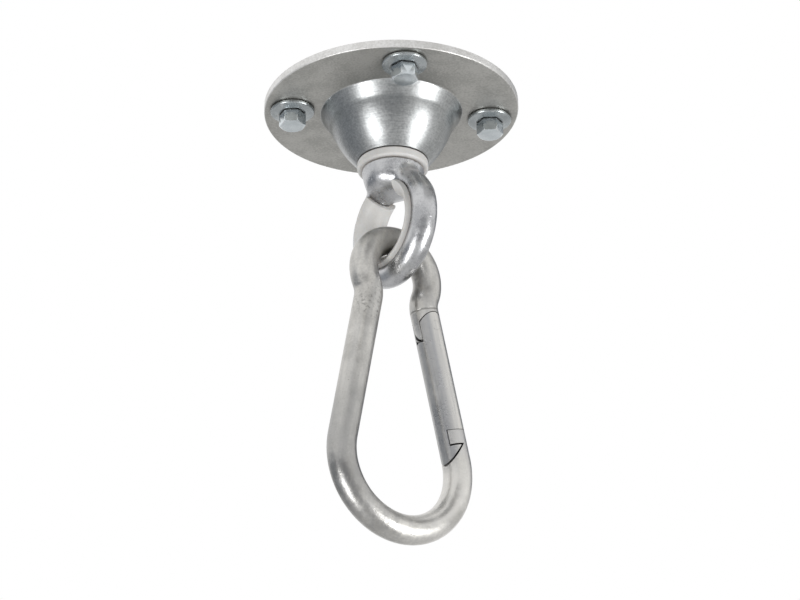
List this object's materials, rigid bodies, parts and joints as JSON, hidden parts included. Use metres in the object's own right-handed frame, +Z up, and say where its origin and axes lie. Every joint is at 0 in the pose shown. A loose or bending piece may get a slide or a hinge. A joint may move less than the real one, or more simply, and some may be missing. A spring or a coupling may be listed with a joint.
{
  "type": "ceiling hook",
  "caption": "Swivel ceiling hook: a round plate drawn into a bell, a forged eye turning on a nylon bush, and a snap carabiner with a sprung gate hanging in the eye's liner.",
  "frame": {"origin": "centre of the plate's ceiling face, on the swivel axis", "axes": "+Z up into the ceiling along the swivel axis, carabiner in the XZ plane with its gate towards +X, eye in the YZ plane"},
  "size_m": [0.11, 0.11, 0.2057],
  "materials": {
    "bell_steel": "zinc plated sheet, dull on the flat and spun bright on the bell",
    "screw_zinc": "bright bluish zinc plating",
    "eye_zinc": "bright zinc plating on a forged surface",
    "carabiner_zinc": "dull galvanised, slightly mottled",
    "gate_zinc": "dull galvanised",
    "spring_steel": "plain spring steel",
    "nylon": "white nylon, satin"
  },
  "bodies": {
    "plate": {"bell_plate": "bell_steel", "plate_screw_1": "screw_zinc", "plate_screw_2": "screw_zinc", "plate_screw_3": "screw_zinc", "plate_screw_4": "screw_zinc", "plate_washer_1": "screw_zinc", "plate_washer_2": "screw_zinc", "plate_washer_3": "screw_zinc", "plate_washer_4": "screw_zinc", "neck_bush": "nylon", "thrust_washer": "nylon"},
    "swivel": {"swivel_eye": "eye_zinc", "eye_liner": "nylon", "lock_nut": "screw_zinc", "nut_insert": "nylon"},
    "carabiner": {"carabiner_hook": "carabiner_zinc", "gate_rivet": "gate_zinc"},
    "gate": {"carabiner_gate": "gate_zinc", "gate_spring": "spring_steel"},
    "plunger": {"gate_plunger": "spring_steel"}
  },
  "joints": [
    {"name": "swivel_turn", "type": "hinge", "parent": "plate", "child": "swivel", "pos_m": [0, 0, -0.0316], "axis": [0, 0, 1], "continuous": true},
    {"name": "carabiner_swing", "type": "hinge", "parent": "swivel", "child": "carabiner", "pos_m": [0, 0, -0.0656], "axis": [1, 0, 0], "range_deg": [-80, 80]},
    {"name": "gate_hinge", "type": "hinge", "parent": "carabiner", "child": "gate", "pos_m": [0.01589, 0, -0.1026], "axis": [0, 1, 0], "range_deg": [0, 35], "stiffness_Nm_per_rad": 0.05, "springref_deg": -22.92},
    {"name": "plunger_slide", "type": "slide", "parent": "gate", "child": "plunger", "axis": [0.2113, 0, -0.9774], "range_m": [0, 0.0014], "deforming": ["gate_spring"]}
  ],
  "couplings": [
    {"joint": "plunger_slide", "follows": "gate_hinge", "m_per_rad": 0.00225}
  ]
}
